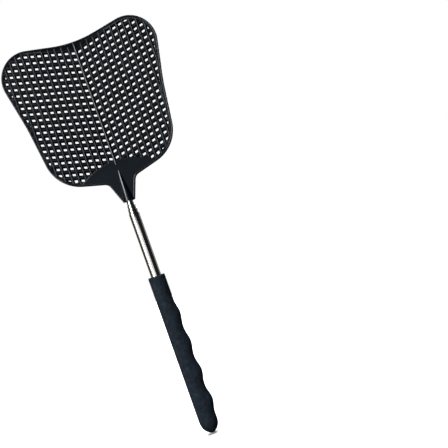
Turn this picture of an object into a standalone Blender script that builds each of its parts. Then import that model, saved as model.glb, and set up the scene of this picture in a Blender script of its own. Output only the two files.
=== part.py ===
"""A telescopic fly swatter: a moulded mesh head on five nested steel tubes, with a moulded foam grip.

The swatter stands upright, closed. +Z runs along the tubes from the butt to the head, -Y is the front of
the head, and +X is the side of the finger grooves. The origin is on the tubes' axis at the middle of the
grip. Dimensions are in millimetres and become metres where a point is made.
"""

import math

import bmesh
import bpy
from mathutils import Vector

MM = 0.001

# The nested tubes, largest first. Each inner one stands a little higher than the one around it.
TUBE_RADII = (3.5, 3.1, 2.7, 2.3, 1.9)
TUBE_TOPS = (100.3, 103.1, 105.9, 108.4, 116.7)
TUBE_WALL = 0.25
FIRST_FOOT = -49.4
SECOND_FOOT = -42.9
FOOT_STEP = 8.5  # each inner tube's foot rests on the crimp of the one around it
LIP_DEPTH = 0.6
LIP_CLEARANCE = 0.06
CRIMP_DEPTH = 0.4
FLANGE_HEIGHT = 1.0
CRIMP_TOP = 8.2
RAMP = 0.15
ROUND_STEPS = 24

# A pair of friction springs sits in each inner tube's crimp and rubs on the tube around it.
SPRING_BOTTOM = 1.3
SPRING_HEIGHT = 6.4
SPRING_THICKNESS = 0.3
SPRING_CLEARANCE = 0.05
SPRING_BOW = 0.08
SPRING_ANGLE = 170
SPRING_STEPS = 10

# Base plug: its body fills the end of the outer tube, and its head covers the tube's rim.
PLUG_LENGTH = 6.7
PLUG_HEAD = 0.5
PLUG_GAP = 0.2
PLUG_CHAMFER = 0.5
PLUG_EDGE = 0.2

# Head stud: a tail in the smallest tube, a collar on its rim, and a grooved end above it.
# The collar's and the grooves' heights are from the tube's rim.
STUD_RADIUS = 1.3
STUD_END = 122.0
STUD_TAIL = 6.0
STUD_COLLAR = (0.2, 0.8)
STUD_GROOVES = (3.6, 2.2)
GROOVE_DEPTH = 0.3
GROOVE_WIDTH = 0.4

# Foam grip
GRIP_TOP = 55.6
GRIP_BUTT = -55.5
GRIP_RADIUS = 5.75
GRIP_EDGE = 0.5
GRIP_SHOULDER = 46.0
BORE_RADIUS = 3.6
BORE_END = -50.6
BUTT_START = -45.5
FIRST_CREST = 27.8
CREST_PITCH = 20.4
CREST_REACH = 7.17
CREST_GROWTH = 0.39
VALLEY_REACH = 5.85
VALLEY_GROWTH = 0.25
CREST_SHARPNESS = 1.2
TIP_OFFSET = 0.7
BUTT_FULLNESS = 2.6
BUTT_BLUNTNESS = 0.8
GRIP_SIDES = 24

# Moulded head
MOUTH = 108.7
RIM_HALF_THICKNESS = 1.3
RIM_WIDTH = 2.7
RIM_ROUNDING = 0.5
MESH_HALF_THICKNESS = 1.0
SHEET_BOTTOM = 127.0  # the sheet that holds the holes ends here, under the gusset
SPINE_HALF_WIDTH = 0.5
SPINE_HALF_THICKNESS = 1.25
GUSSET_PEAK = 137.6
GUSSET_RADIUS = 46.0
CONE_RADIUS = 4.0
CONE_TOP = 130.5
CONE_TOP_RADIUS = 0.6
CONE_SHOULDER_RADIUS = 1.3
CONE_SHOULDER = 0.9
SOCKET_CLEARANCE = 0.05
END_CLEARANCE = 0.1

# Half of the head's outline from the mouth to the middle of the top edge: x, z and corner radius.
HEAD_CORNERS = (
    (4.1, 109.1, 0.8),
    (9.6, 123.4, 5.0),
    (42.5, 132.3, 25.3),
    (48.2, 176.5, 150.0),
    (59.6, 231.5, 18.7),
    (0.0, 219.6, 76.0),
)

# The mesh: columns of holes along Z, in rows that climb outwards from the spine.
COLUMN_PITCH = 4.44
ROW_PITCH = 4.4
ROW_CLIMB = 0.264
FIRST_HOLE = 139.0
HOLE_HALF_WIDTH = 1.0
HOLE_HALF_HEIGHT = 0.78
COLUMNS = 12
ROWS_BELOW = 4
ROWS_ABOVE = 20
HOLE_MARGIN = 0.2
MESH_MARGIN = 0.3


# ---------------------------------------------------------------- scene helpers


def clear_scene():
    for obj in list(bpy.data.objects):
        bpy.data.objects.remove(obj, do_unlink=True)


def new_collection(name):
    made = bpy.data.collections.new(name)
    bpy.context.scene.collection.children.link(made)
    return made


def new_material(name, colour, roughness, metallic):
    made = bpy.data.materials.new(name)
    made.use_nodes = True
    shader = made.node_tree.nodes["Principled BSDF"]
    shader.inputs["Base Color"].default_value = (*colour, 1)
    shader.inputs["Roughness"].default_value = roughness
    shader.inputs["Metallic"].default_value = metallic
    return made


def link(name, data, collection, height=0.0):
    """A new object on the tubes' axis, at this height."""
    obj = bpy.data.objects.new(name, data)
    obj.location = Vector((0, 0, height)) * MM
    collection.objects.link(obj)
    return obj


def baked(obj):
    """The object's mesh with its modifiers or its curve turned into faces."""
    graph = bpy.context.evaluated_depsgraph_get()
    mesh = bpy.data.meshes.new_from_object(obj.evaluated_get(graph))
    shape = bmesh.new()
    shape.from_mesh(mesh)
    bmesh.ops.remove_doubles(shape, verts=shape.verts, dist=0.0005 * MM)
    shape.to_mesh(mesh)
    shape.free()
    return mesh


def bake(obj, parts, material):
    """Replaces the object with a smooth-shaded mesh object of the same name and place."""
    mesh = baked(obj)
    name = obj.name
    place = obj.matrix_world.copy()
    bpy.data.objects.remove(obj, do_unlink=True)
    mesh.name = name
    mesh.materials.clear()
    mesh.materials.append(material)
    mesh.shade_smooth()
    mesh.set_sharp_from_angle(angle=math.radians(35))
    made = bpy.data.objects.new(name, mesh)
    made.matrix_world = place
    parts.objects.link(made)
    return made


def attach(child, parent):
    """Parents the child and keeps it where it is. Neither is rotated."""
    child.location -= parent.matrix_world.translation
    child.parent = parent
    bpy.context.view_layer.update()


def add_boolean(obj, other, operation):
    modifier = obj.modifiers.new(f"{operation.lower()} {other.name}", "BOOLEAN")
    modifier.operation = operation
    modifier.solver = "EXACT"
    modifier.object = other


def hide(obj):
    obj.hide_render = True
    obj.display_type = "WIRE"


# ---------------------------------------------------------------- shape helpers


def turned(name, profile, collection, height=0.0, steps=ROUND_STEPS, closed=True, angle=360):
    """A profile of (radius, z) points turned round Z. Its outer side runs from top to bottom."""
    shape = bmesh.new()
    points = [shape.verts.new(Vector((r, 0, z)) * MM) for r, z in profile]
    pairs = list(zip(points, points[1:]))
    if closed:
        pairs.append((points[-1], points[0]))
    for pair in pairs:
        shape.edges.new(pair)
    mesh = bpy.data.meshes.new(name)
    shape.to_mesh(mesh)
    shape.free()
    obj = link(name, mesh, collection, height)
    screw = obj.modifiers.new("turn", "SCREW")
    screw.axis = "Z"
    screw.angle = math.radians(angle)
    screw.steps = steps
    screw.render_steps = steps
    screw.use_merge_vertices = True
    screw.merge_threshold = 0.001 * MM
    bpy.context.view_layer.update()
    return obj


def solid_profile(profile):
    """A turned solid's outer side, closed on the axis at both ends."""
    return [(0, profile[0][1]), *profile, (0, profile[-1][1])]


def rounded(corners, step=8):
    """The points of an open path with an arc at each inner corner, as (x, z)."""
    path = [Vector(corners[0][:2])]
    for before, corner, after in zip(corners, corners[1:], corners[2:]):
        here = Vector(corner[:2])
        to_before = (Vector(before[:2]) - here).normalized()
        to_after = (Vector(after[:2]) - here).normalized()
        half = to_before.angle(to_after) / 2
        centre = here + (to_before + to_after).normalized() * corner[2] / math.sin(half)
        reach = corner[2] / math.tan(half)
        start = here + to_before * reach - centre
        turn = start.angle_signed(here + to_after * reach - centre)
        count = max(2, round(abs(math.degrees(turn)) / step))
        for i in range(count + 1):
            bend = -turn * i / count
            cos, sin = math.cos(bend), math.sin(bend)
            path.append(centre + Vector((cos * start.x - sin * start.y, sin * start.x + cos * start.y)))
    path.append(Vector(corners[-1][:2]))
    return path


def inset(path, distance):
    """The path moved sideways, to its left, by a distance."""
    moved = []
    for i, point in enumerate(path):
        along = path[min(i + 1, len(path) - 1)] - path[max(i - 1, 0)]
        across = Vector((-along.y, along.x)).normalized()
        moved.append(point + across * distance)
    return moved


def mirrored(half):
    """A closed outline from a half that starts and ends near x = 0 or crosses to the other side."""
    return half + [Vector((-p.x, p.y)) for p in reversed(half) if p.x > 0.001]


def flat_plate(name, outlines, half_thickness, collection):
    """A plate in the XZ plane, filled between closed outlines."""
    curve = bpy.data.curves.new(name, "CURVE")
    curve.dimensions = "2D"
    curve.fill_mode = "BOTH"
    curve.extrude = half_thickness * MM
    for outline in outlines:
        spline = curve.splines.new("POLY")
        spline.points.add(len(outline) - 1)
        spline.use_cyclic_u = True
        for point, (x, z) in zip(spline.points, outline):
            point.co = (x * MM, z * MM, 0, 1)
    lying = link(name, curve, collection)
    lying.rotation_euler = (math.radians(90), 0, 0)
    bpy.context.view_layer.update()
    mesh = baked(lying)
    mesh.transform(lying.matrix_world)
    bpy.data.objects.remove(lying, do_unlink=True)
    return link(name, mesh, collection)


# ---------------------------------------------------------------- tubes and what is in them


def tube_foot(index):
    return FIRST_FOOT if index == 0 else SECOND_FOOT + (index - 1) * FOOT_STEP


def tube_profile(index):
    """Heights are from the tube's foot."""
    outer = TUBE_RADII[index]
    inner = outer - TUBE_WALL
    top = TUBE_TOPS[index] - tube_foot(index)
    last = index == len(TUBE_RADII) - 1
    lip = inner if last else TUBE_RADII[index + 1] + LIP_CLEARANCE
    profile = [(lip, top), (outer - RAMP, top), (outer, top - RAMP)]
    if index > 0:
        profile += [
            (outer, CRIMP_TOP),
            (outer - CRIMP_DEPTH, CRIMP_TOP - 2 * RAMP),
            (outer - CRIMP_DEPTH, FLANGE_HEIGHT + RAMP),
            (outer, FLANGE_HEIGHT),
        ]
    profile += [(outer, 0), (inner, 0)]
    if index > 0:
        profile += [
            (inner, FLANGE_HEIGHT - RAMP),
            (inner - CRIMP_DEPTH, FLANGE_HEIGHT + RAMP),
            (inner - CRIMP_DEPTH, CRIMP_TOP - RAMP),
            (inner, CRIMP_TOP + RAMP),
        ]
    if not last:
        profile += [(inner, top - LIP_DEPTH - RAMP), (lip, top - LIP_DEPTH)]
    return profile


def make_tube(index, parts, steel):
    name = f"tube_{index + 1}"
    return bake(turned(name, tube_profile(index), parts, tube_foot(index)), parts, steel)


def make_spring(index, side, parts, bronze):
    """One thin half-shell, slightly bowed so that its middle is what rubs."""
    name = f"friction_spring_{index + 1}{'ab'[side]}"
    radius = TUBE_RADII[index - 1] - TUBE_WALL - SPRING_CLEARANCE
    strip = [
        (radius - SPRING_BOW, SPRING_HEIGHT),
        (radius, SPRING_HEIGHT / 2),
        (radius - SPRING_BOW, 0),
    ]
    bottom = tube_foot(index) + SPRING_BOTTOM
    shell = turned(name, strip, parts, bottom, SPRING_STEPS, closed=False, angle=SPRING_ANGLE)
    solidify = shell.modifiers.new("sheet", "SOLIDIFY")
    solidify.thickness = SPRING_THICKNESS * MM
    solidify.offset = -1
    shell.rotation_euler.z = math.radians(180 * side + (180 - SPRING_ANGLE) / 2)
    bpy.context.view_layer.update()
    return bake(shell, parts, bronze)


def make_base_plug(parts, plastic):
    """Closes the bottom of the outer tube, inside the grip."""
    radius = TUBE_RADII[0] - TUBE_WALL - SPRING_CLEARANCE
    head = TUBE_RADII[0]
    profile = [
        (radius - PLUG_CHAMFER, PLUG_LENGTH),
        (radius, PLUG_LENGTH - PLUG_CHAMFER),
        (radius, PLUG_HEAD),
        (head, PLUG_HEAD),
        (head, PLUG_EDGE),
        (head - PLUG_EDGE, 0),
    ]
    bottom = FIRST_FOOT - PLUG_GAP - PLUG_HEAD
    return bake(turned("base_plug", solid_profile(profile), parts, bottom), parts, plastic)


def make_head_stud(parts, brass):
    """Fills the top of the smallest tube, with a grooved end that the head is moulded over."""
    inside = TUBE_RADII[-1] - TUBE_WALL - SPRING_CLEARANCE
    collar = TUBE_RADII[-1]
    base = TUBE_TOPS[-1]
    length = STUD_END - base
    groove = STUD_RADIUS - GROOVE_DEPTH
    profile = [(groove, length), (STUD_RADIUS, length - GROOVE_DEPTH)]
    for height in STUD_GROOVES:
        profile += [
            (STUD_RADIUS, height + GROOVE_DEPTH),
            (groove, height),
            (groove, height - GROOVE_WIDTH),
            (STUD_RADIUS, height - GROOVE_WIDTH),
        ]
    seat, shoulder = STUD_COLLAR
    profile += [(STUD_RADIUS, shoulder), (collar, shoulder), (collar, seat), (inside, seat)]
    profile += [(inside, GROOVE_DEPTH - STUD_TAIL), (inside - GROOVE_DEPTH, -STUD_TAIL)]
    return bake(turned("head_stud", solid_profile(profile), parts, base), parts, brass)


# ---------------------------------------------------------------- grip


def grip_half_widths(z):
    """Half widths of the grip at a height: towards the fingers, to the other side, and the offset."""
    waves = (FIRST_CREST - z) / CREST_PITCH
    reach = GRIP_RADIUS
    if waves > -0.5:
        valley = VALLEY_REACH + VALLEY_GROWTH * waves
        crest = CREST_REACH + CREST_GROWTH * waves
        swell = (0.5 + 0.5 * math.cos(math.tau * waves)) ** CREST_SHARPNESS
        blend = min(1, (waves + 0.5) * 4)
        reach = GRIP_RADIUS + (valley - GRIP_RADIUS) * blend + (crest - valley) * swell
    closing, offset = 1, 0
    if z < BUTT_START:
        part = (BUTT_START - z) / (BUTT_START - GRIP_BUTT)
        reach = min(reach, VALLEY_REACH + VALLEY_GROWTH * waves)
        closing = (1 - part**BUTT_FULLNESS) ** BUTT_BLUNTNESS
        offset = TIP_OFFSET * part**2
    if z > GRIP_TOP - GRIP_EDGE:
        closing = 1 - GRIP_EDGE / GRIP_RADIUS * (1 - (GRIP_TOP - z) / GRIP_EDGE)
    return reach * closing, GRIP_RADIUS * closing, offset


def grip_ring(z):
    reach, radius, offset = grip_half_widths(z)
    ring = []
    for i in range(GRIP_SIDES):
        angle = math.tau * i / GRIP_SIDES
        across = math.cos(angle) * (reach if math.cos(angle) > 0 else radius)
        ring.append(Vector((across + offset, radius * math.sin(angle), z)) * MM)
    return ring


def grip_heights():
    """Close together where the butt rounds off, and regular along the grooves."""
    heights = [GRIP_TOP, GRIP_TOP - GRIP_EDGE, GRIP_SHOULDER]
    grooves_top = FIRST_CREST + CREST_PITCH / 2
    steps = round((grooves_top - BUTT_START) / (CREST_PITCH / 8))
    heights += [grooves_top + (BUTT_START - grooves_top) * i / steps for i in range(steps + 1)]
    for part in (0.2, 0.4, 0.58, 0.74, 0.87, 0.96):
        heights.append(BUTT_START + (GRIP_BUTT - BUTT_START) * part)
    return heights


def make_grip(parts, cutters, foam):
    """A loft through its cross-sections, with a blind bore for the outer tube."""
    shape = bmesh.new()
    rings = [[shape.verts.new(p) for p in grip_ring(z)] for z in grip_heights()]
    for upper, lower in zip(rings, rings[1:]):
        for i in range(GRIP_SIDES):
            j = (i + 1) % GRIP_SIDES
            shape.faces.new((upper[i], lower[i], lower[j], upper[j]))
    shape.faces.new(rings[0])
    tip = shape.verts.new(Vector((TIP_OFFSET, 0, GRIP_BUTT)) * MM)
    for i in range(GRIP_SIDES):
        shape.faces.new((rings[-1][(i + 1) % GRIP_SIDES], rings[-1][i], tip))
    bmesh.ops.recalc_face_normals(shape, faces=shape.faces)
    mesh = bpy.data.meshes.new("grip_sleeve")
    shape.to_mesh(mesh)
    shape.free()
    grip = link("grip_sleeve", mesh, parts)
    bore_profile = [(BORE_RADIUS, GRIP_TOP + 5), (BORE_RADIUS, BORE_END)]
    bore = turned("grip_bore", solid_profile(bore_profile), cutters)
    hide(bore)
    add_boolean(grip, bore, "DIFFERENCE")
    bpy.context.view_layer.update()
    return bake(grip, parts, foam)


# ---------------------------------------------------------------- head


def head_half():
    """The outline's right half, from the mouth up to the middle of the top edge."""
    x, z, radius = HEAD_CORNERS[-2]
    corners = [(0.0, HEAD_CORNERS[0][1], 0.0), *HEAD_CORNERS]
    corners.append((-x, z, radius))
    path = rounded(corners)
    return [p for p in path[1:-1] if p.x > -0.001]


def window_half(outline):
    """The opening that the mesh fills: the outline moved in by the rim, closed below by the gusset."""
    centre = GUSSET_PEAK - GUSSET_RADIUS
    inner = inset(outline, RIM_WIDTH)
    above = [
        p
        for p in inner
        if p.y > SHEET_BOTTOM and p.x**2 + (p.y - centre) ** 2 > GUSSET_RADIUS**2
    ]
    reach = above[0].x
    arc = []
    for i in range(8):
        x = reach * i / 8
        arc.append(Vector((x, centre + math.sqrt(GUSSET_RADIUS**2 - x * x))))
    return arc + above


def inside(point, outline):
    """Whether a point is inside a closed outline."""
    crossings = 0
    for a, b in zip(outline, outline[1:] + outline[:1]):
        if (a.y > point.y) != (b.y > point.y):
            crossings += point.x < a.x + (b.x - a.x) * (point.y - a.y) / (b.y - a.y)
    return crossings % 2 == 1


def mesh_holes(window):
    """The holes whose middle is inside the window, as slanted oblongs."""
    holes = []
    for column in range(COLUMNS):
        x = COLUMN_PITCH * (column + 0.5)
        for row in range(-ROWS_BELOW, ROWS_ABOVE):
            z = FIRST_HOLE + ROW_CLIMB * (x - COLUMN_PITCH / 2) + ROW_PITCH * row
            tests = [Vector((x + HOLE_MARGIN * i, z + HOLE_MARGIN * j)) for i in (-1, 1) for j in (-1, 1)]
            if not all(inside(p, window) for p in tests):
                continue
            for side in (1, -1):
                corners = ((-1, -1), (1, -1), (1, 1), (-1, 1))
                hole = []
                for i, j in corners:
                    across = HOLE_HALF_WIDTH * i
                    up = HOLE_HALF_HEIGHT * j + ROW_CLIMB * across
                    hole.append(Vector((side * (x + across), z + up)))
                holes.append(hole)
    return holes


def make_frame(outline, window, cutters):
    """The rim and the gusset, one plate with rounded edges."""
    frame = flat_plate("rim_and_gusset", [mirrored(outline), window], RIM_HALF_THICKNESS, cutters)
    shape = bmesh.new()
    shape.from_mesh(frame.data)
    bmesh.ops.dissolve_limit(
        shape, angle_limit=math.radians(1), verts=shape.verts, edges=shape.edges
    )
    flat = [e for e in shape.edges if e.verts[0].co.y * e.verts[1].co.y > 0]
    edges = [e for e in flat if e.calc_face_angle(0) > math.radians(60)]
    bmesh.ops.bevel(shape, geom=edges, offset=RIM_ROUNDING * MM, segments=1, affect="EDGES")
    shape.to_mesh(frame.data)
    shape.free()
    hide(frame)
    return frame


def make_spine(cutters):
    """The bar up the middle of the mesh, from the gusset to the top of the rim."""
    bottom, top = GUSSET_PEAK - 4, HEAD_CORNERS[-1][1]
    mesh = bpy.data.meshes.new("spine")
    shape = bmesh.new()
    bmesh.ops.create_cube(shape, size=1)
    size = (2 * SPINE_HALF_WIDTH, 2 * SPINE_HALF_THICKNESS, top - bottom)
    bmesh.ops.scale(shape, vec=Vector(size) * MM, verts=shape.verts)
    shape.to_mesh(mesh)
    shape.free()
    spine = link("spine", mesh, cutters, (top + bottom) / 2)
    hide(spine)
    return spine


def make_head(parts, cutters, plastic):
    """Mesh, rim, spine, gusset and socket, moulded as one."""
    outline = head_half()
    window = mirrored(window_half(outline))
    sheet = mirrored([p for p in inset(outline, MESH_MARGIN) if p.y > SHEET_BOTTOM])
    head = flat_plate("swatter_head", [sheet, *mesh_holes(window)], MESH_HALF_THICKNESS, parts)
    shoulder = (CONE_SHOULDER_RADIUS, CONE_TOP - CONE_SHOULDER)
    cone = [(CONE_TOP_RADIUS, CONE_TOP), shoulder, (CONE_RADIUS, MOUTH)]
    socket = turned("socket", solid_profile(cone), cutters)
    hide(socket)
    for piece in (make_frame(outline, window, cutters), make_spine(cutters), socket):
        add_boolean(head, piece, "UNION")
    tube = TUBE_RADII[-1] + SOCKET_CLEARANCE
    stud = STUD_RADIUS + SOCKET_CLEARANCE
    step = TUBE_TOPS[-1] + STUD_COLLAR[1] + END_CLEARANCE
    bore_profile = [(stud, STUD_END + END_CLEARANCE), (stud, step), (tube, step), (tube, MOUTH - CONE_RADIUS)]
    bore = turned("socket_bore", solid_profile(bore_profile), cutters)
    hide(bore)
    add_boolean(head, bore, "DIFFERENCE")
    bpy.context.view_layer.update()
    return bake(head, parts, plastic)


# ---------------------------------------------------------------- the swatter


def build():
    clear_scene()
    parts = new_collection("fly_swatter")
    cutters = new_collection("cutters")
    black = new_material("head_plastic", (0.008, 0.011, 0.016), 0.45, 0.0)
    foam = new_material("grip_foam", (0.013, 0.018, 0.028), 0.9, 0.0)
    steel = new_material("tube_steel", (0.62, 0.61, 0.6), 0.18, 1.0)
    bronze = new_material("spring_bronze", (0.55, 0.33, 0.13), 0.35, 1.0)
    brass = new_material("stud_brass", (0.6, 0.43, 0.18), 0.35, 1.0)
    grey = new_material("plug_plastic", (0.12, 0.12, 0.12), 0.5, 0.0)

    tubes = [make_tube(index, parts, steel) for index in range(len(TUBE_RADII))]
    for index in range(1, len(tubes)):
        attach(tubes[index], tubes[index - 1])
        for side in range(2):
            attach(make_spring(index, side, parts, bronze), tubes[index - 1])
    attach(make_base_plug(parts, grey), tubes[0])
    attach(make_grip(parts, cutters, foam), tubes[0])
    attach(make_head_stud(parts, brass), tubes[-1])
    attach(make_head(parts, cutters, black), tubes[-1])


build()
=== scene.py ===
"""The finished look of the telescopic fly swatter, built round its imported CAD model.

Lengths are in millimetres, in the model's own frame: +Z runs from the butt of the grip to the head, -Y is
the front, and the origin is on the tubes' axis at the middle of the grip. Materials and lights work in
metres. Angles are in degrees.
"""

import math

import bmesh
import bpy
from mathutils import Matrix, Vector, noise


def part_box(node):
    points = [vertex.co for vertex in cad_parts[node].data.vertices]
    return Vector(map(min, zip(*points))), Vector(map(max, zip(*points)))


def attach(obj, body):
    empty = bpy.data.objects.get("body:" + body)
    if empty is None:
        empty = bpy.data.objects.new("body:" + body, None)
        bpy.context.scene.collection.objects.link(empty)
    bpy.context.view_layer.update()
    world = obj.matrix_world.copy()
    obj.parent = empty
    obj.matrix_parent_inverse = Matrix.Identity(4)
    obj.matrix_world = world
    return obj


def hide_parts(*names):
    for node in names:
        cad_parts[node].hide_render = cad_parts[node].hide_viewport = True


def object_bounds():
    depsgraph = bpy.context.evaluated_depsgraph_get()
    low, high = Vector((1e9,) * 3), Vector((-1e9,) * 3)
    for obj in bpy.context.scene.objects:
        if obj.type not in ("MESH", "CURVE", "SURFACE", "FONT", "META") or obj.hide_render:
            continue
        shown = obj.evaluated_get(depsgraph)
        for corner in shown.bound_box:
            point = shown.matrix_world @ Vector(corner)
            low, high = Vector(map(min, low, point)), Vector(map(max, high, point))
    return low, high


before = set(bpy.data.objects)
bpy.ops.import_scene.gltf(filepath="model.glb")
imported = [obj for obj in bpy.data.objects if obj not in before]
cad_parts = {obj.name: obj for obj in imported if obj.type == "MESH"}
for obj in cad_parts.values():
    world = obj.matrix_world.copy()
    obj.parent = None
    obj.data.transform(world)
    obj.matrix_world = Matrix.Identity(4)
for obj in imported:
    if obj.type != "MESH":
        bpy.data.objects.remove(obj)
CAD_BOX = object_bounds()

MM = 0.001
ROUND = 96  # sides of a turned piece
ARC_STEP = 3.0  # the turn between points on a rounded corner

# Head outline, right half: x, z and corner radius, from the mouth to the middle of the top edge.
HEAD_CORNERS = (
    (4.1, 108.75, 0.0),
    (9.6, 123.4, 5.0),
    (42.5, 132.3, 25.3),
    (48.2, 176.5, 150.0),
    (59.6, 231.5, 18.7),
    (0.0, 219.6, 76.0),
)
BEAD_HALF_WIDTH = 0.75
BEAD_HALF_DEPTH = 1.35
BEAD_SIDES = 24
BEAD_SQUARENESS = 0.75
BEAD_STEP = 1.5
RIM_WIDTH = 2.7
LAND_HALF_DEPTH = 0.8
LAND_ROUNDING = 0.25
LAND_UNDERLAP = 0.3  # how far the land runs under the gusset's top edge
MERGE_DISTANCE = 0.001

# Gusset: its top edge is an arc, and its bottom edge follows the outline
GUSSET_PEAK = 137.6
GUSSET_RADIUS = 46.0
GUSSET_HALF_DEPTH = 1.25
GUSSET_ROUNDING = 0.9
GUSSET_EDGE = 0.004  # the least share of the depth, squared, so that the edge isn't a knife's
GUSSET_OVERHANG = 4.0  # how far past the window's foot the bottom edge is looked for
FULL_HEIGHT = 3.0  # columns shorter than this have their end rings drawn in
FOOT_RINGS = (0, 0.12, 0.28, 0.45)
CROWN_RINGS = (1, 0.75, 0.52, 0.32, 0.16, 0.05, 0)
GUSSET_RINGS = 48
FINE_STEP = 0.2
FINE_HALF_WIDTH = 4.8
COARSE_COLUMNS = 48

# Socket, with a keel front and back, and its stepped bore
MOUTH = 108.7
MOUTH_ROUNDING = 0.5
MOUTH_SHRINK = 0.05
SOCKET_RADIUS = 4.0
RIDGE_TOP = 130.5
RIDGE_OVERRUN = 1.1
RIDGE_TOP_HALF_WIDTH = 0.6
RIDGE_RINGS = 48
KEEL_SLOPE = 0.21
KEEL_START = 0.8
KEEL_FULLNESS = 6
BORE_RADIUS = 1.95
BORE_STEP = 117.6
STUD_BORE_RADIUS = 1.35
BORE_END = 122.1
CUTTER_OVERRUN = 2.0

# Mesh: holes in columns beside the spine, in rows that climb outwards, between two sets of ribs
COLUMN_PITCH = 4.44
ROW_PITCH = 4.4
ROW_CLIMB = 0.264
FIRST_HOLE = 139.0
ROWS = range(-5, 22)
UPRIGHT_HALF_BASE = 1.25
UPRIGHT_HALF_CREST = 0.34
UPRIGHT_HALF_DEPTH = 1.1
CHEVRON_HALF_BASE = 1.47
CHEVRON_HALF_CREST = 0.25
CHEVRON_HALF_DEPTH = 0.85
PARTING_HALF_DEPTH = 0.2
CREST_RADIUS = 0.55
ARCH_STEPS = 4
RIB_TUCK = 1.0
RIB_END = 1.5
RIB_SHOWING = 0.6
RIB_STEP = 0.1
SHORTEST_RIB = 1.0
UPRIGHT_REACH = 120.0
CHEVRON_REACH = 56.0
BESIDE_AXIS = 0.01
AT_SPINE = 1.0  # a chevron that starts nearer the axis than this runs across it
WINDOW_FLOOR = 128.0
WINDOW_STEPS = 40
VALLEY_LAND = 217.2
VALLEY_HALF_WIDTH = 5.0
SPINE_HALF_WIDTH = 0.5
SPINE_HALF_DEPTH = 1.35
SPINE_ARCH_RADIUS = 1.5
SPINE_OVERRUN = 0.6
SPINE_TUCK = 3.0  # the stretch inside the gusset, and the last one under the rim
SPINE_START = 1.0
HEAD_SHARP_ANGLE = 25

# Grip
GRIP_RADIUS = 5.75
GRIP_EDGE = 0.6
GRIP_SIDES = 120
GRIP_RINGS = 190
GRIP_EDGE_RINGS = (0, 0.1, 0.3, 0.6, 1)
GRIP_BORE_RADIUS = 3.6
GRIP_BORE_END = -50.6
GRIP_BORE_CHAMFER = 0.3
GRIP_SHARP_ANGLE = 50
BUTT_START = -45.5
BUTT_RINGS = 36
BUTT_FULLNESS = 2.6
BUTT_BLUNTNESS = 0.8
FIRST_CREST = 27.8
CREST_PITCH = 20.4
CREST_REACH = 7.17
CREST_GROWTH = 0.39
VALLEY_REACH = 5.85
VALLEY_GROWTH = 0.25
CREST_SHARPNESS = 1.2
SWELL_ONSET = 4.0
TIP_OFFSET = 0.7
FOAM_RELIEF = 0.05
FOAM_GRAIN = 1.3

# Tubes and what is inside them
TUBES = 5
TUBE_WALL = 0.25
LIP_DEPTH = 0.6
LIP_CLEARANCE = 0.06
LIP_TOP = 0.22
LIP_BEND = (0.07, 0.25)
LAST_TOP = 0.02
CRIMP_DEPTH = 0.4
CRIMP_TOP = 8.2
CRIMP_RAMP = 0.15
FLANGE_HEIGHT = 1.0
TUBE_EDGE = 0.14
TUBE_SHARP_ANGLE = 60
SPRING_THICKNESS = 0.3
SPRING_CLEARANCE = 0.05
SPRING_BOW = 0.08
SPRING_ANGLE = 170
SPRING_EDGE = 0.04
SPRING_ROWS = 8
SPRING_STEPS = 40
PLUG_CHAMFER = 0.5
PLUG_FLANGE = 0.5
PLUG_EDGE = 0.2
STUD_CHAMFER = 0.3
STUD_BARBS = (3.6, 2.2)
BARB_DEPTH = 0.3
BARB_GAP = 0.4
COLLAR_TOP = 0.8
COLLAR_FOOT = 0.2

# Floor, in metres
FLOOR_RADIUS = 1.2
FLOOR_GAP = 0.0002
FLOOR_SIDES = 128

# Camera: square to the head, turned so that the head leans to the upper left
LENS = 50.0
SENSOR = 36.0
PICTURE_WIDTH = 0.29867  # what the picture spans at the swatter's distance, in metres
TILT = 19.57
AIM = (54.2, 73.1)  # x and z of the picture's middle


# ---------------------------------------------------------------- shapes


def rounded(corners):
    """The points of an open path with an arc at each inner corner, as (x, z)."""
    path = [Vector(corners[0][:2])]
    for before, corner, after in zip(corners, corners[1:], corners[2:]):
        here = Vector(corner[:2])
        if corner[2] == 0:
            path.append(here)
            continue
        to_before = (Vector(before[:2]) - here).normalized()
        to_after = (Vector(after[:2]) - here).normalized()
        half = to_before.angle(to_after) / 2
        centre = here + (to_before + to_after).normalized() * corner[2] / math.sin(half)
        reach = corner[2] / math.tan(half)
        start = here + to_before * reach - centre
        turn = start.angle_signed(here + to_after * reach - centre)
        count = max(3, round(abs(math.degrees(turn)) / ARC_STEP))
        for i in range(count + 1):
            bend = -turn * i / count
            cos, sin = math.cos(bend), math.sin(bend)
            path.append(centre + Vector((cos * start.x - sin * start.y, sin * start.x + cos * start.y)))
    path.append(Vector(corners[-1][:2]))
    return path


def evenly(path, step):
    """The path with extra points, so that no two are further apart than a step."""
    points = [path[0]]
    for a, b in zip(path, path[1:]):
        count = max(1, math.ceil((b - a).length / step))
        points += [a.lerp(b, (i + 1) / count) for i in range(count)]
    return points


def side_of(path, i):
    """The unit vector to the left of the path at a point."""
    along = path[min(i + 1, len(path) - 1)] - path[max(i - 1, 0)]
    return Vector((-along.y, along.x)).normalized()


def inset(path, distance):
    """The path moved to its left."""
    return [point + side_of(path, i) * distance for i, point in enumerate(path)]


def oval(half_width, half_depth, count, squareness):
    """A closed section as (across, depth) pairs, fuller than an ellipse when its squareness is under 1."""
    loop = []
    for i in range(count):
        cos, sin = math.cos(math.tau * i / count), math.sin(math.tau * i / count)
        across = half_width * math.copysign(abs(cos) ** squareness, cos)
        loop.append((across, half_depth * math.copysign(abs(sin) ** squareness, sin)))
    return loop


def arch(half_width, depth, radius):
    """The rounded front of a bar, from its left edge to its right."""
    points = []
    for i in range(-ARCH_STEPS, ARCH_STEPS + 1):
        across = half_width * i / ARCH_STEPS
        points.append((across, depth - across * across / (2 * radius)))
    return points


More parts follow.
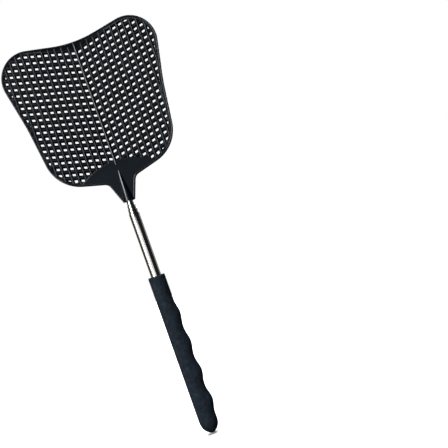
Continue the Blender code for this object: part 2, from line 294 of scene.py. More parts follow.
def rib_section(half_base, half_crest, half_depth):
    """A rib as it leaves its mould: widest at the parting plane, and narrowing to a crest on each side."""
    front = arch(half_crest, half_depth, CREST_RADIUS)
    half = [(-half_base, PARTING_HALF_DEPTH), *front, (half_base, PARTING_HALF_DEPTH)]
    return half + [(-across, -depth) for across, depth in half]


def add_loft(shape, rings):
    """Skins a row of rings and caps both ends."""
    made = [[shape.verts.new(Vector(p) * MM) for p in ring] for ring in rings]
    for one, two in zip(made, made[1:]):
        for i in range(len(one)):
            j = (i + 1) % len(one)
            shape.faces.new((one[i], one[j], two[j], two[i]))
    shape.faces.new(list(reversed(made[0])))
    shape.faces.new(made[-1])


def finished(shape, name):
    """A mesh object from a bmesh, with its faces pointing out."""
    bmesh.ops.recalc_face_normals(shape, faces=shape.faces)
    mesh = bpy.data.meshes.new(name)
    shape.to_mesh(mesh)
    shape.free()
    obj = bpy.data.objects.new(name, mesh)
    bpy.context.scene.collection.objects.link(obj)
    return obj


def smooth(obj, angle=40):
    """Shades the object smooth, except across edges sharper than the angle."""
    obj.data.shade_smooth()
    obj.data.set_sharp_from_angle(angle=math.radians(angle))


def combine(obj, others, operation="UNION"):
    """Joins the others to obj, or cuts them from it, and removes them."""
    for other in others:
        modifier = obj.modifiers.new(operation, "BOOLEAN")
        modifier.operation = operation
        modifier.solver = "MANIFOLD"
        modifier.object = other
    graph = bpy.context.evaluated_depsgraph_get()
    mesh = bpy.data.meshes.new_from_object(obj.evaluated_get(graph))
    obj.modifiers.clear()
    obj.data = mesh
    for other in others:
        bpy.data.objects.remove(other, do_unlink=True)


def turned(name, profile, height=0.0):
    """A closed profile of (radius, z) turned round Z. Points on the axis make the tips."""
    shape = bmesh.new()
    rings = []
    for radius, z in profile:
        if radius == 0:
            rings.append([shape.verts.new(Vector((0, 0, z + height)) * MM)])
            continue
        turns = (math.tau * i / ROUND for i in range(ROUND))
        rings.append([
            shape.verts.new(Vector((radius * math.cos(a), radius * math.sin(a), z + height)) * MM)
            for a in turns
        ])
    pairs = list(zip(rings, rings[1:]))
    if profile[0][0] > 0:
        pairs.append((rings[-1], rings[0]))
    for one, two in pairs:
        for i in range(ROUND):
            j = (i + 1) % ROUND
            if len(one) == 1:
                shape.faces.new((one[0], two[j], two[i]))
            elif len(two) == 1:
                shape.faces.new((one[i], one[j], two[0]))
            else:
                shape.faces.new((one[i], one[j], two[j], two[i]))
    return finished(shape, name)


def eased(profile, radius=0.08):
    """A closed profile with each of its corners off the axis rounded, by at most 0.45 of either side."""
    points = []
    count = len(profile)
    for i, corner in enumerate(profile):
        before, after = profile[i - 1], profile[(i + 1) % count]
        if corner[0] == 0:
            points.append(corner)
            continue
        reach = min(
            radius,
            0.45 * (Vector(before) - Vector(corner)).length,
            0.45 * (Vector(after) - Vector(corner)).length,
        )
        start = Vector(corner) + (Vector(before) - Vector(corner)).normalized() * reach
        end = Vector(corner) + (Vector(after) - Vector(corner)).normalized() * reach
        for t in (0, 0.33, 0.67, 1):
            bend = start * (1 - t) ** 2 + Vector(corner) * 2 * t * (1 - t) + end * t * t
            points.append((bend.x, bend.y))
    return points


# ---------------------------------------------------------------- materials


class Nodes:
    """A short way to write a material's node tree."""

    def __init__(self, name):
        self.material = bpy.data.materials.new(name)
        self.material.use_nodes = True
        self.tree = self.material.node_tree
        self.shader = self.tree.nodes["Principled BSDF"]
        self.place = self.tree.nodes.new("ShaderNodeTexCoord").outputs["Object"]

    def add(self, kind, **settings):
        node = self.tree.nodes.new(kind)
        for key, value in settings.items():
            setattr(node, key, value)
        return node

    def link(self, output, target):
        self.tree.links.new(output, target)

    def stretched(self, scale):
        mapping = self.add("ShaderNodeMapping")
        mapping.inputs["Scale"].default_value = scale
        self.link(self.place, mapping.inputs["Vector"])
        return mapping.outputs["Vector"]

    def noise(self, scale, detail=4.0, roughness=0.5, vector=None):
        node = self.add("ShaderNodeTexNoise")
        node.inputs["Scale"].default_value = scale
        node.inputs["Detail"].default_value = detail
        node.inputs["Roughness"].default_value = roughness
        self.link(vector or self.place, node.inputs["Vector"])
        return node.outputs["Fac"]

    def cells(self, scale):
        node = self.add("ShaderNodeTexVoronoi", feature="F1")
        node.inputs["Scale"].default_value = scale
        self.link(self.place, node.inputs["Vector"])
        return node.outputs["Distance"]

    def ramp(self, value, stops):
        """Maps a value to colours: stops are (position, colour)."""
        node = self.add("ShaderNodeValToRGB")
        elements = node.color_ramp.elements
        for element, (position, colour) in zip(elements, (stops[0], stops[-1])):
            element.position = position
            element.color = (*colour, 1)
        for position, colour in stops[1:-1]:
            elements.new(position).color = (*colour, 1)
        self.link(value, node.inputs["Fac"])
        return node.outputs["Color"]

    def spread(self, value, low, high):
        """A noise, whose values are mostly between 0.3 and 0.7, moved to between low and high."""
        node = self.add("ShaderNodeMapRange")
        node.inputs["From Min"].default_value = 0.3
        node.inputs["From Max"].default_value = 0.7
        node.inputs["To Min"].default_value = low
        node.inputs["To Max"].default_value = high
        self.link(value, node.inputs["Value"])
        return node.outputs["Result"]

    def bump(self, height, depth, under=None):
        """Relief of this depth in metres, on top of any relief under it."""
        node = self.add("ShaderNodeBump")
        node.inputs["Strength"].default_value = 1.0
        node.inputs["Distance"].default_value = depth
        self.link(height, node.inputs["Height"])
        if under:
            self.link(under, node.inputs["Normal"])
        return node.outputs["Normal"]

    def surface(self, **inputs):
        """Sets the shader's inputs: a socket is linked, and a number or a colour is set."""
        for key, value in inputs.items():
            socket = self.shader.inputs[key.replace("_", " ").title().replace("Ior", "IOR")]
            if isinstance(value, bpy.types.NodeSocket):
                self.link(value, socket)
            else:
                socket.default_value = value
        return self.material


def moulded_plastic():
    """Near-black polypropylene with the fine, even grain of a spark-eroded mould."""
    nodes = Nodes("black_polypropylene")
    tone = nodes.ramp(
        nodes.noise(60, 3), [(0.35, (0.0012, 0.0024, 0.0044)), (0.65, (0.002, 0.0038, 0.0066))]
    )
    grain = nodes.bump(nodes.noise(2600, 3, 0.6), 0.0000025)
    flow = nodes.bump(nodes.noise(90, 2), 0.00005, grain)
    gloss = nodes.spread(nodes.noise(140, 4), 0.11, 0.16)
    nodes.shader.inputs["Specular IOR Level"].default_value = 0.45
    return nodes.surface(base_color=tone, roughness=gloss, normal=flow)


def foam_rubber():
    """Closed-cell foam: matte, faintly blue, mottled by its skin and pitted by its cells."""
    nodes = Nodes("black_foam_rubber")
    mottle = nodes.ramp(
        nodes.noise(420, 5, 0.65),
        [
            (0.3, (0.0055, 0.0085, 0.0135)),
            (0.5, (0.0098, 0.015, 0.0225)),
            (0.72, (0.019, 0.0265, 0.038)),
        ],
    )
    pits = nodes.bump(nodes.cells(1500), 0.00005)
    skin = nodes.bump(nodes.noise(700, 5, 0.6), 0.00008, pits)
    dull = nodes.spread(nodes.noise(250, 3), 0.72, 0.9)
    nodes.shader.inputs["Specular IOR Level"].default_value = 0.2
    return nodes.surface(base_color=mottle, roughness=dull, normal=skin)


def polished_steel():
    """Drawn stainless tube, polished, with hairlines along its length and faint rubbing marks."""
    nodes = Nodes("polished_stainless")
    along = nodes.stretched((1.0, 1.0, 0.02))
    hairlines = nodes.noise(5200, 3, 0.6, along)
    wear = nodes.noise(160, 5, 0.6, nodes.stretched((1.0, 1.0, 0.35)))
    tone = nodes.ramp(wear, [(0.3, (0.74, 0.715, 0.68)), (0.7, (0.83, 0.81, 0.78))])
    gloss = nodes.spread(wear, 0.07, 0.13)
    return nodes.surface(
        base_color=tone, metallic=1.0, roughness=gloss, normal=nodes.bump(hairlines, 0.0000005)
    )


def bare_metal(name, dark, light, low, high):
    """Unpolished brass or bronze, a little tarnished."""
    nodes = Nodes(name)
    tarnish = nodes.noise(350, 5, 0.65)
    tone = nodes.ramp(tarnish, [(0.35, dark), (0.65, light)])
    marks = nodes.bump(nodes.noise(1800, 3), 0.000004)
    return nodes.surface(
        base_color=tone, metallic=1.0, roughness=nodes.spread(tarnish, high, low), normal=marks
    )


def plug_plastic():
    """Grey, slightly rough plastic."""
    nodes = Nodes("grey_plug_plastic")
    tone = nodes.ramp(nodes.noise(200, 3), [(0.35, (0.1, 0.1, 0.1)), (0.65, (0.14, 0.14, 0.14))])
    grain = nodes.bump(nodes.noise(2400, 3, 0.6), 0.00001)
    gloss = nodes.spread(nodes.noise(300), 0.42, 0.55)
    return nodes.surface(base_color=tone, roughness=gloss, normal=grain)


def dress(obj, material, body, node):
    """Gives a piece its material, and puts it in place of a CAD node."""
    obj.data.materials.clear()
    obj.data.materials.append(material)
    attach(obj, body)
    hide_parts(node)
    return obj


# ---------------------------------------------------------------- head


def head_outline():
    """The outline from the mouth's right side, round the top, to its left side."""
    right = list(HEAD_CORNERS[:-1])
    left = [(-x, z, radius) for x, z, radius in reversed(right)]
    return rounded([*right, HEAD_CORNERS[-1], *left])


def gusset_top(x):
    """The height of the gusset's top edge, an arc across the head."""
    centre = GUSSET_PEAK - GUSSET_RADIUS
    return centre + math.sqrt(GUSSET_RADIUS**2 - x * x)


def window_outline(outline, drop=0.0):
    """The opening for the mesh, inside the rim and above the gusset. Its top is level in the middle."""
    inner = inset(outline, RIM_WIDTH)
    above = [p for p in inner if abs(p.x) > GUSSET_RADIUS or p.y > max(WINDOW_FLOOR, gusset_top(p.x))]
    for point in above:
        if abs(point.x) < VALLEY_HALF_WIDTH and point.y > VALLEY_LAND:
            point.y = VALLEY_LAND
    reach = above[0].x
    arc = [reach * (2 * i / WINDOW_STEPS - 1) for i in range(1, WINDOW_STEPS)]
    return above + [Vector((x, gusset_top(x) - drop)) for x in arc]


def is_inside(point, loop):
    """Whether a level line from the point crosses the loop an odd number of times."""
    crossings = 0
    for a, b in zip(loop, loop[1:] + loop[:1]):
        if (a.y > point.y) != (b.y > point.y):
            crossings += point.x < a.x + (b.x - a.x) * (point.y - a.y) / (b.y - a.y)
    return crossings % 2 == 1


def span(points, window, reach):
    """The first and last of a rib's points at which some of its width lies inside the window."""
    within = [
        i for i, point in enumerate(points)
        if is_inside(point + reach, window) or is_inside(point - reach, window)
    ]
    return (within[0], within[-1]) if len(within) > SHORTEST_RIB / RIB_STEP else None


def upright_ribs(window):
    """The ribs between the columns of holes, parallel to the handle."""
    shape = bmesh.new()
    section = rib_section(UPRIGHT_HALF_BASE, UPRIGHT_HALF_CREST, UPRIGHT_HALF_DEPTH)
    count = round(UPRIGHT_REACH / RIB_STEP)
    column = 0
    while COLUMN_PITCH * column < CAD_BOX[1][0] / MM - RIM_WIDTH:
        x = COLUMN_PITCH * column
        points = [Vector((x, MOUTH + RIB_STEP * i)) for i in range(count)]
        ends = span(points, window, Vector((UPRIGHT_HALF_BASE * RIB_SHOWING, 0)))
        if ends:
            low, high = (points[i].y for i in ends)
            for side in (1, -1) if column else (1,):
                rings = [
                    [(side * x + across, depth, z) for across, depth in section]
                    for z in (low - RIB_TUCK, low + RIB_END, high - RIB_END, high + RIB_TUCK)
                ]
                add_loft(shape, rings)
        column += 1
    return finished(shape, "upright_ribs")


def chevron_ribs(window):
    """The ribs between the rows of holes, which climb outwards from the spine."""
    shape = bmesh.new()
    lean = math.hypot(1, ROW_CLIMB)
    section = rib_section(CHEVRON_HALF_BASE * lean, CHEVRON_HALF_CREST * lean, CHEVRON_HALF_DEPTH)
    count = round(CHEVRON_REACH / RIB_STEP)
    for row in ROWS:
        start = FIRST_HOLE + ROW_PITCH * (row - 0.5) - ROW_CLIMB * COLUMN_PITCH / 2
        points = []
        for i in range(count):
            points.append(Vector((RIB_STEP * i + BESIDE_AXIS, start + ROW_CLIMB * RIB_STEP * i)))
        ends = span(points, window, Vector((0, CHEVRON_HALF_BASE * RIB_SHOWING)))
        if not ends:
            continue
        near, far = (points[i].x for i in ends)
        end = min(RIB_END, (far - near) / 3)
        if near < AT_SPINE:
            right = [end, far - end, far + RIB_TUCK]
            stations = [[-x for x in reversed(right)] + [0] + right]
        else:
            right = [near - RIB_TUCK, near + end, far - end, far + RIB_TUCK]
            stations = [[side * x for x in right] for side in (1, -1)]
        for xs in stations:
            rings = [
                [(x, depth, start + ROW_CLIMB * abs(x) + across) for across, depth in section]
                for x in xs
            ]
            add_loft(shape, rings)
    return finished(shape, "chevron_ribs")


def rim_land(outline, window):
    """The flat web from the rim's bead in to the window, and through the gusset and neck."""
    curve = bpy.data.curves.new("rim_land", "CURVE")
    curve.dimensions = "2D"
    curve.fill_mode = "BOTH"
    curve.extrude = (LAND_HALF_DEPTH - LAND_ROUNDING) * MM
    curve.bevel_depth = LAND_ROUNDING * MM
    curve.bevel_resolution = 2
    curve.offset = -LAND_ROUNDING * MM
    for loop in (inset(outline, BEAD_HALF_WIDTH), window):
        spline = curve.splines.new("POLY")
        spline.points.add(len(loop) - 1)
        spline.use_cyclic_u = True
        for point, (x, z) in zip(spline.points, loop):
            point.co = (x * MM, z * MM, 0, 1)
    flat = bpy.data.objects.new("rim_land_curve", curve)
    flat.rotation_euler.x = math.radians(90)
    bpy.context.scene.collection.objects.link(flat)
    bpy.context.view_layer.update()
    graph = bpy.context.evaluated_depsgraph_get()
    mesh = bpy.data.meshes.new_from_object(flat.evaluated_get(graph))
    mesh.transform(flat.matrix_world)
    bpy.data.objects.remove(flat, do_unlink=True)
    shape = bmesh.new()
    shape.from_mesh(mesh)
    bmesh.ops.remove_doubles(shape, verts=shape.verts, dist=MERGE_DISTANCE * MM)
    return finished(shape, "rim_land")


def rim_bead(outline):
    """The rounded edge that runs up the neck, round the head and down again."""
    shape = bmesh.new()
    path = evenly(outline, BEAD_STEP)
    section = oval(BEAD_HALF_WIDTH, BEAD_HALF_DEPTH, BEAD_SIDES, BEAD_SQUARENESS)
    rings = []
    for i, point in enumerate(path):
        side = side_of(path, i)
        ring = []
        for across, depth in section:
            at = point + side * (BEAD_HALF_WIDTH + across)
            ring.append((at.x, depth, at.y))
        rings.append(ring)
    add_loft(shape, rings)
    return finished(shape, "rim_bead")


def gusset_depth(z, top):
    """Half the gusset's thickness, which is even up to its rounded top edge."""
    edge = min(1, (top - z) / GUSSET_ROUNDING)
    return GUSSET_HALF_DEPTH * math.sqrt(max(GUSSET_EDGE, 1 - (1 - edge) ** 2))


def keeled(half_width, half_depth, keel, count):
    """A closed section between an ellipse and one that comes to a shallow keel, front and back."""
    loop = []
    for i in range(count):
        across, depth = math.cos(math.tau * i / count), math.sin(math.tau * i / count)
        part = abs(across)
        slope = 1 - KEEL_SLOPE * half_width / half_depth * part
        wedge = half_depth * math.sqrt(max(0, 1 - part**KEEL_FULLNESS)) * slope
        reach = half_depth * abs(depth)
        loop.append((half_width * across, math.copysign(reach + (wedge - reach) * keel, depth)))
    return loop


def socket_ridge():
    """The socket's outside: a cone that comes to a keel and sinks into the gusset as it narrows."""
    shape = bmesh.new()
    rings = []
    for i in range(RIDGE_RINGS + 1):
        part = RIDGE_OVERRUN * i / RIDGE_RINGS
        z = MOUTH + (RIDGE_TOP - MOUTH) * part
        half_width = SOCKET_RADIUS + (RIDGE_TOP_HALF_WIDTH - SOCKET_RADIUS) * part
        half_depth = SOCKET_RADIUS + (GUSSET_HALF_DEPTH - SOCKET_RADIUS) * part
        lip = min(1, (z - MOUTH) / MOUTH_ROUNDING)
        shrink = 1 - MOUTH_SHRINK * (1 - lip) ** 2
        keel = min(1, part / KEEL_START)
        section = keeled(half_width, half_depth, keel * keel * (3 - 2 * keel), ROUND)
        rings.append([(x * shrink, y * shrink, z) for x, y in section])
    add_loft(shape, rings)
    return finished(shape, "socket_ridge")


def gusset(outline):
    """The solid web between the mesh and the tubes, as columns across the neck."""
    edge = inset(outline, BEAD_HALF_WIDTH)
    reach = window_outline(outline)[0].x
    lower = [p for p in edge[: len(edge) // 2] if p.x < reach + GUSSET_OVERHANG and p.y < GUSSET_PEAK]

    def bottom_of(x):
        if x <= lower[0].x:
            return MOUTH
        for a, b in zip(lower, lower[1:]):
            if a.x <= x <= b.x:
                return a.y + (b.y - a.y) * (x - a.x) / (b.x - a.x)
        return lower[-1].y

    fine = [FINE_STEP * i for i in range(round(FINE_HALF_WIDTH / FINE_STEP))]
    rest = reach - FINE_HALF_WIDTH
    coarse = [FINE_HALF_WIDTH + rest * i / COARSE_COLUMNS for i in range(COARSE_COLUMNS + 1)]
    right = fine + coarse
    across = [-x for x in reversed(right[1:])] + right
    front, back = [], []
    for x in across:
        bottom, top = bottom_of(abs(x)), gusset_top(abs(x))
        room = min(1, (top - bottom) / FULL_HEIGHT)
        foot = [bottom + share * room for share in FOOT_RINGS]
        crown = [top - GUSSET_ROUNDING * room * share for share in CROWN_RINGS]
        low, high = foot[-1], crown[0]
        middle = [low + (high - low) * i / GUSSET_RINGS for i in range(1, GUSSET_RINGS)]
        heights = foot + middle + crown
        column = [(z, gusset_depth(z, top)) for z in heights]
        front.append([(x, -depth, z) for z, depth in column])
        back.append([(x, depth, z) for z, depth in column])
    shape = bmesh.new()
    rings = [f + list(reversed(b)) for f, b in zip(front, back)]
    add_loft(shape, rings)
    return finished(shape, "gusset")


def spine():
    """The raised bar up the middle of the mesh."""
    shape = bmesh.new()
    front = arch(SPINE_HALF_WIDTH, SPINE_HALF_DEPTH, SPINE_ARCH_RADIUS)
    section = front + [(-across, -depth) for across, depth in front]
    top = HEAD_CORNERS[-1][1] + SPINE_OVERRUN
    heights = (GUSSET_PEAK - SPINE_TUCK, GUSSET_PEAK + SPINE_START, top - SPINE_TUCK, top)
    add_loft(shape, [[(across, depth, z) for across, depth in section] for z in heights])
    return finished(shape, "spine")


def socket_bore():
    """The cutter for the tube's seat and the narrower hole that the stud's end fills."""
    profile = [
        (0, BORE_END),
        (STUD_BORE_RADIUS, BORE_END),
        (STUD_BORE_RADIUS, BORE_STEP),
        (BORE_RADIUS, BORE_STEP),
        (BORE_RADIUS, MOUTH - CUTTER_OVERRUN),
        (0, MOUTH - CUTTER_OVERRUN),
    ]
    return turned("socket_bore", profile)


def make_head(plastic):
    """One moulding: the ribs, the rim, the spine, the gusset and the socket."""
    outline = head_outline()
    window = window_outline(outline)
    head = rim_land(outline, window_outline(outline, LAND_UNDERLAP))
    head.name = "head_moulding"
    ribs = [upright_ribs(window), chevron_ribs(window), spine()]
    combine(head, [rim_bead(outline), gusset(outline), socket_ridge(), *ribs])
    combine(head, [socket_bore()], "DIFFERENCE")
    smooth(head, HEAD_SHARP_ANGLE)
    return dress(head, plastic, "section_5", "swatter_head")


# ---------------------------------------------------------------- grip


def grip_half_widths(z, top, butt):
    """The grip's reach towards the fingers, its radius on the other sides, and its centre's offset."""
    waves = (FIRST_CREST - z) / CREST_PITCH
    reach = GRIP_RADIUS
    if waves > -0.5:
        valley = VALLEY_REACH + VALLEY_GROWTH * waves
        crest = CREST_REACH + CREST_GROWTH * waves
        swell = (0.5 + 0.5 * math.cos(math.tau * waves)) ** CREST_SHARPNESS
        onset = min(1, (waves + 0.5) * SWELL_ONSET)
        reach = GRIP_RADIUS + (valley - GRIP_RADIUS) * onset + (crest - valley) * swell
    closing, offset = 1, 0
    if z < BUTT_START:
        part = min(1, (BUTT_START - z) / (BUTT_START - butt))
        reach = min(reach, VALLEY_REACH + VALLEY_GROWTH * waves)
        closing = (1 - part**BUTT_FULLNESS) ** BUTT_BLUNTNESS
        offset = TIP_OFFSET * part**2
    if z > top - GRIP_EDGE:
        part = 1 - (top - z) / GRIP_EDGE
        closing = 1 - GRIP_EDGE / GRIP_RADIUS * (1 - math.sqrt(max(0, 1 - part**2)))
    return reach * closing, GRIP_RADIUS * closing, offset


def make_grip(foam):
    """A sleeve of foam: finger swells down one side, a cut top, a rounded butt and a blind bore."""
    low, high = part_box("grip_sleeve")
    butt, top = low.z / MM, high.z / MM
    heights = [top - GRIP_EDGE * share for share in GRIP_EDGE_RINGS]
    body_top = heights[-1]
    heights += [body_top + (BUTT_START - body_top) * i / GRIP_RINGS for i in range(1, GRIP_RINGS + 1)]
    for i in range(1, BUTT_RINGS):
        heights.append(BUTT_START + (butt - BUTT_START) * math.sin(i / BUTT_RINGS * math.pi / 2))
    rings = []
    for z in reversed(heights):
        reach, radius, offset = grip_half_widths(z, top, butt)
        ring = []
        for i in range(GRIP_SIDES):
            cos, sin = math.cos(math.tau * i / GRIP_SIDES), math.sin(math.tau * i / GRIP_SIDES)
            x = cos * (reach if cos > 0 else radius) + offset
            y = sin * radius
            push = FOAM_RELIEF * noise.noise(Vector((x, y, z)) / FOAM_GRAIN)
            ring.append((x + push * cos, y + push * sin, z))
        rings.append(ring)
    bore = (
        (GRIP_BORE_RADIUS + GRIP_BORE_CHAMFER, top),
        (GRIP_BORE_RADIUS, top - GRIP_BORE_CHAMFER),
        (GRIP_BORE_RADIUS, GRIP_BORE_END),
    )
    for radius, z in bore:
        turns = (math.tau * i / GRIP_SIDES for i in range(GRIP_SIDES))
        rings.append([(radius * math.cos(a), radius * math.sin(a), z) for a in turns])
    shape = bmesh.new()
    add_loft(shape, rings)
    grip = finished(shape, "foam_grip")
    smooth(grip, GRIP_SHARP_ANGLE)
    return dress(grip, foam, "handle", "grip_sleeve")


# ---------------------------------------------------------------- tubes and what is in them


def radius_of(node):
    """Half the depth of a round CAD node."""
    low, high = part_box(node)
    return (high.y - low.y) / 2 / MM


def tube_profile(number, outer, length):
    """The wall of a tube as (radius, height above its foot): rolled lip, wall and crimped foot."""
    inner = outer - TUBE_WALL
    last = number == TUBES
    lip = inner if last else radius_of(f"tube_{number + 1}") + LIP_CLEARANCE
    crimped = number > 1
    if last:
        profile = [(lip, length), (outer - LAST_TOP, length), (outer, length - LIP_DEPTH / 2)]
    else:
        profile = [
            (lip, length),
            (outer - LIP_TOP, length),
            (outer - LIP_BEND[0], length - LIP_BEND[1]),
            (outer, length - LIP_DEPTH),
        ]
    if crimped:
        profile += [
            (outer, CRIMP_TOP),
            (outer - CRIMP_DEPTH, CRIMP_TOP - 2 * CRIMP_RAMP),
            (outer - CRIMP_DEPTH, FLANGE_HEIGHT + CRIMP_RAMP),
            (outer, FLANGE_HEIGHT),
        ]
    profile += [(outer, 0), (inner, 0)]
    if crimped:
        profile += [
            (inner, FLANGE_HEIGHT - CRIMP_RAMP),
            (inner - CRIMP_DEPTH, FLANGE_HEIGHT + CRIMP_RAMP),
            (inner - CRIMP_DEPTH, CRIMP_TOP - CRIMP_RAMP),
            (inner, CRIMP_TOP + CRIMP_RAMP),
        ]
    if not last:
        profile += [(inner, length - LIP_DEPTH - CRIMP_RAMP), (lip, length - LIP_DEPTH)]
    return profile


def make_tube(number, steel):
    """One polished tube, as long and as wide as its CAD node."""
    node = f"tube_{number}"
    low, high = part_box(node)
    profile = tube_profile(number, radius_of(node), (high.z - low.z) / MM)
    tube = turned(f"steel_{node}", eased(profile, TUBE_EDGE), height=low.z / MM)
    smooth(tube, TUBE_SHARP_ANGLE)
    body = "handle" if number == 1 else f"section_{number}"
    return dress(tube, steel, body, node)


def make_spring(number, letter, bronze):
    """A bowed half-shell of strip, with a row of rings from one long edge to the other."""
    node = f"friction_spring_{number}{letter}"
    low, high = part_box(node)
    outer = radius_of(f"tube_{number - 1}") - TUBE_WALL - SPRING_CLEARANCE
    start = (180 - SPRING_ANGLE) / 2 + (0 if letter == "a" else 180)
    middle = (high.z + low.z) / 2 / MM
    half = (high.z - low.z) / 2 / MM
    rows = [i / SPRING_ROWS for i in range(-SPRING_ROWS, SPRING_ROWS + 1)]
    rings = []
    for i in range(SPRING_STEPS + 1):
        angle = math.radians(start + SPRING_ANGLE * i / SPRING_STEPS)
        inset_here = SPRING_EDGE if i in (0, SPRING_STEPS) else 0
        ring = []
        for depth, order in ((inset_here, rows), (SPRING_THICKNESS - inset_here, reversed(rows))):
            for row in order:
                radius = outer - SPRING_BOW * row * row - depth
                height = middle + row * (half - inset_here)
                ring.append((radius * math.cos(angle), radius * math.sin(angle), height))
        rings.append(ring)
    shape = bmesh.new()
    add_loft(shape, rings)
    spring = finished(shape, f"bronze_spring_{number}{letter}")
    smooth(spring)
    return dress(spring, bronze, f"springs_{number}", node)


def make_base_plug(plastic):
    """The plug in the outer tube's foot, with a thin flange that covers the tube's end."""
    low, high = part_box("base_plug")
    height = (high.z - low.z) / MM
    head = radius_of("base_plug")
    body = head - TUBE_WALL - SPRING_CLEARANCE
    profile = [
        (0, height),
        (body - PLUG_CHAMFER, height),
        (body, height - PLUG_CHAMFER),
        (body, PLUG_FLANGE),
        (head, PLUG_FLANGE),
        (head, PLUG_EDGE),
        (head - PLUG_EDGE, 0),
        (0, 0),
    ]
    plug = turned("moulded_base_plug", eased(profile), height=low.z / MM)
    smooth(plug)
    return dress(plug, plastic, "handle", "base_plug")


def make_head_stud(brass):
    """The grooved end of the stud, its collar, and the part that fills the smallest tube."""
    low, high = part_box("head_stud")
    length = (high.z - low.z) / MM
    collar = radius_of("head_stud")
    inside = collar - TUBE_WALL - SPRING_CLEARANCE
    tip = STUD_BORE_RADIUS - SPRING_CLEARANCE
    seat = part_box("tube_5")[1].z / MM - low.z / MM
    profile = [(0, length), (tip - STUD_CHAMFER, length), (tip, length - STUD_CHAMFER)]
    for barb in STUD_BARBS:
        profile += [
            (tip, seat + barb + BARB_DEPTH),
            (tip - BARB_DEPTH, seat + barb),
            (tip - BARB_DEPTH, seat + barb - BARB_GAP),
            (tip, seat + barb - BARB_GAP),
        ]
    profile += [
        (tip, seat + COLLAR_TOP),
        (collar, seat + COLLAR_TOP),
        (collar, seat + COLLAR_FOOT),
        (inside, seat + COLLAR_FOOT),
        (inside, STUD_CHAMFER),
        (inside - STUD_CHAMFER, 0),
        (0, 0),
    ]
    stud = turned("turned_head_stud", eased(profile), height=low.z / MM)
    smooth(stud)
    return dress(stud, brass, "section_5", "head_stud")


# ---------------------------------------------------------------- stage, light and camera


def make_floor():
    """A plain pale disc that the butt stands on."""
    shape = bmesh.new()
    height = CAD_BOX[0][2] - FLOOR_GAP
    bmesh.ops.create_circle(shape, cap_ends=True, radius=FLOOR_RADIUS, segments=FLOOR_SIDES)
    bmesh.ops.translate(shape, verts=shape.verts, vec=(0, 0, height))
    floor = finished(shape, "floor")
    nodes = Nodes("pale_floor")
    tone = nodes.ramp(nodes.noise(6, 2), [(0.3, (0.86, 0.86, 0.86)), (0.7, (0.88, 0.88, 0.88))])
    floor.data.materials.append(nodes.surface(base_color=tone, roughness=0.9))
    nodes.shader.inputs["Specular IOR Level"].default_value = 0.0
    floor.visible_glossy = False
    floor.visible_diffuse = False


def add_softbox(name, place, target, size, brightness, colour=(1, 1, 1)):
    """A rectangular light that reflects with this brightness, whatever its size."""
    data = bpy.data.lights.new(name, "AREA")
    data.shape = "RECTANGLE"
    data.size, data.size_y = size
    data.energy = brightness * math.pi * size[0] * size[1]
    data.color = colour
    lamp = bpy.data.objects.new(name, data)
    lamp.location = place
    lamp.rotation_euler = (Vector(target) - Vector(place)).to_track_quat("-Z", "Y").to_euler()
    lamp.visible_camera = False
    bpy.context.scene.collection.objects.link(lamp)


def add_overhead(strength):
    """Even light from above, which whitens the floor and leaves no glints on the object."""
    data = bpy.data.lights.new("overhead", "SUN")
    data.energy = strength
    data.angle = math.radians(60)
    lamp = bpy.data.objects.new("overhead", data)
    lamp.visible_glossy = False
    bpy.context.scene.collection.objects.link(lamp)


def make_world():
    """White behind the object, and dim for what the object reflects."""
    world = bpy.data.worlds.new("studio")
    bpy.context.scene.world = world
    world.use_nodes = True
    tree = world.node_tree
    white = tree.nodes["Background"]
    white.inputs["Color"].default_value = (1, 1, 1, 1)
    dim = tree.nodes.new("ShaderNodeBackground")
    dim.inputs["Color"].default_value = (0.8, 0.9, 1, 1)
    dim.inputs["Strength"].default_value = 0.015
    path = tree.nodes.new("ShaderNodeLightPath")
    mix = tree.nodes.new("ShaderNodeMixShader")
    tree.links.new(path.outputs["Is Camera Ray"], mix.inputs["Fac"])
    tree.links.new(dim.outputs["Background"], mix.inputs[1])
    tree.links.new(white.outputs["Background"], mix.inputs[2])
    tree.links.new(mix.outputs["Shader"], tree.nodes["World Output"].inputs["Surface"])


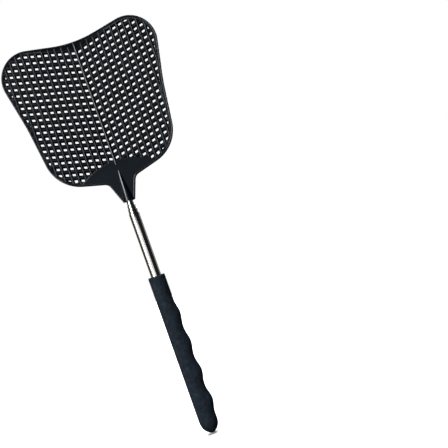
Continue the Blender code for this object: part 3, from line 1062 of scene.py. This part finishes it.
def make_lights():
    """The softboxes' places and sizes are in metres, and each is turned to the swatter's middle."""
    middle = (0, 0, 0.08)
    add_overhead(7.5)
    add_softbox("key", (-0.55, -0.45, 0.25), middle, (0.55, 1.0), 0.72)
    add_softbox("strip", (-0.55, -0.88, 0.35), middle, (0.26, 0.86), 13)
    add_softbox("low", (-0.05, -0.7, 0.05), middle, (0.62, 0.2), 0.85)
    add_softbox("neck", (-0.13, -0.99, 0.25), middle, (0.36, 0.12), 0.35, (0.7, 0.85, 1))
    add_softbox("front", (0.06, -1.1, 0.6), middle, (0.3, 0.25), 1.1, (0.8, 0.9, 1))
    add_softbox("top", (-0.3, -0.8, 0.95), middle, (0.6, 0.25), 3.5, (0.85, 0.93, 1))
    add_softbox("back_left", (-0.7, 0.75, 0.15), middle, (0.5, 0.9), 0.32, (1, 0.86, 0.72))
    add_softbox("back_right", (0.75, 0.6, 0.2), middle, (0.45, 0.9), 0.35)
    add_softbox("back", (0.1, 0.9, 0.5), middle, (0.5, 0.6), 5)


def make_camera():
    data = bpy.data.cameras.new("camera")
    data.lens = LENS
    data.sensor_width = SENSOR
    data.clip_start = 0.01
    distance = LENS / SENSOR * PICTURE_WIDTH
    turn = Matrix.Rotation(math.radians(TILT), 4, "Y") @ Matrix.Rotation(math.radians(90), 4, "X")
    camera = bpy.data.objects.new("camera", data)
    camera.matrix_world = Matrix.Translation((AIM[0] * MM, -distance, AIM[1] * MM)) @ turn
    bpy.context.scene.collection.objects.link(camera)
    bpy.context.scene.camera = camera


# ---------------------------------------------------------------- the swatter


def build():
    steel = polished_steel()
    bronze = bare_metal("phosphor_bronze", (0.42, 0.22, 0.08), (0.62, 0.38, 0.16), 0.28, 0.42)
    brass = bare_metal("turned_brass", (0.5, 0.34, 0.12), (0.68, 0.5, 0.22), 0.25, 0.4)
    make_head(moulded_plastic())
    make_grip(foam_rubber())
    make_base_plug(plug_plastic())
    make_head_stud(brass)
    for number in range(1, TUBES + 1):
        make_tube(number, steel)
    for number in range(2, TUBES + 1):
        for letter in "ab":
            make_spring(number, letter, bronze)


build()
make_floor()
make_world()
make_lights()
make_camera()
bpy.context.scene.view_settings.view_transform = "Standard"
